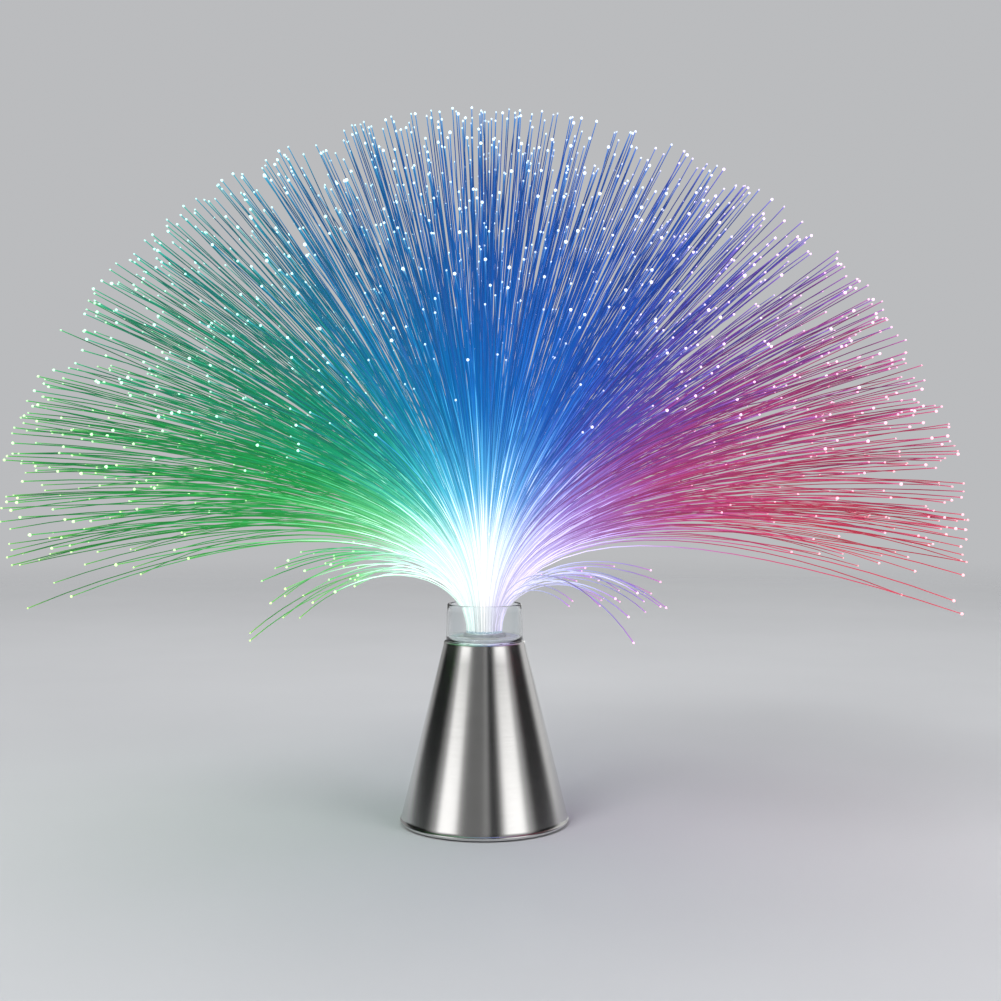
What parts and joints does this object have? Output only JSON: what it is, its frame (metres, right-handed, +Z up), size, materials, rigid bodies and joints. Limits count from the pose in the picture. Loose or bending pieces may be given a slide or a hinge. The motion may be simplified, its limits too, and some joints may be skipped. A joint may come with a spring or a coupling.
{
  "type": "fiber optic lamp",
  "caption": "Battery table lamp: a satin steel cone with a clear neck collar and a lift-out spray of glowing colored light fibers with bright tips.",
  "frame": {"origin": "middle of the round foot, in the plane it rests on", "axes": "+Z up along the cone's axis, +X to the right seen from the front (the red side of the spray), -Y towards the viewer in the picture"},
  "size_m": [0.4454, 0.3818, 0.3257],
  "materials": {
    "steel_cone": "satin, brushed around",
    "ring_plastic": "satin",
    "clear_collar": "clear gloss",
    "ferrule_metal": "satin",
    "fiber_bundle": "polished, lit from below",
    "fiber_green": "clear, carries green light",
    "fiber_teal": "clear, carries teal light",
    "fiber_blue": "clear, carries blue light",
    "fiber_violet": "clear, carries violet light",
    "fiber_magenta": "clear, carries magenta light",
    "fiber_red": "clear, carries red light",
    "frame_plastic": "matt",
    "board_laminate": "solder mask",
    "led_green": "tinted clear",
    "led_blue": "tinted clear",
    "led_red": "tinted clear",
    "chip_epoxy": "matt",
    "resistor_body": "satin",
    "black_plastic": "fine grain",
    "door_plastic": "fine grain",
    "cell_can": "plain sleeve, bare ends",
    "contact_plating": "bright plated",
    "switch_can": "plated",
    "knob_plastic": "fine grain",
    "screw_steel": "zinc plated",
    "red_wire": "sleeved",
    "black_wire": "sleeved",
    "white_wire": "sleeved"
  },
  "bodies": {
    "base": {"base_shell": "steel_cone", "top_ring": "ring_plastic", "guard_collar": "clear_collar", "inner_frame": "frame_plastic", "circuit_board": "board_laminate", "controller_chip": "chip_epoxy", "resistors": "resistor_body", "green_led": "led_green", "blue_led": "led_blue", "red_led": "led_red", "bottom_cover": "black_plastic", "battery_1": "cell_can", "battery_2": "cell_can", "battery_3": "cell_can", "positive_contact": "contact_plating", "negative_contact": "contact_plating", "front_link_contact": "contact_plating", "rear_link_contact": "contact_plating", "switch_body": "switch_can", "cover_screws": "screw_steel", "battery_lead": "red_wire", "return_lead": "black_wire", "switch_lead": "white_wire"},
    "fiber_plug": {"fiber_ferrule": "ferrule_metal", "fiber_core": "fiber_bundle", "strands_green": "fiber_green", "strands_teal": "fiber_teal", "strands_blue": "fiber_blue", "strands_violet": "fiber_violet", "strands_magenta": "fiber_magenta", "strands_red": "fiber_red"},
    "door": {"battery_door": "door_plastic"},
    "switch_slider": {"switch_knob": "knob_plastic"}
  },
  "joints": [
    {"name": "plug_lift", "type": "slide", "parent": "base", "child": "fiber_plug", "axis": [0, 0, 1], "range_m": [0, 0.03]},
    {"name": "battery_door_hinge", "type": "hinge", "parent": "base", "child": "door", "pos_m": [-0.0287, 0, 0.0016], "axis": [0, 1, 0], "range_deg": [0, 75]},
    {"name": "switch_slide", "type": "slide", "parent": "base", "child": "switch_slider", "axis": [0, -1, 0], "range_m": [0, 0.0036]}
  ]
}
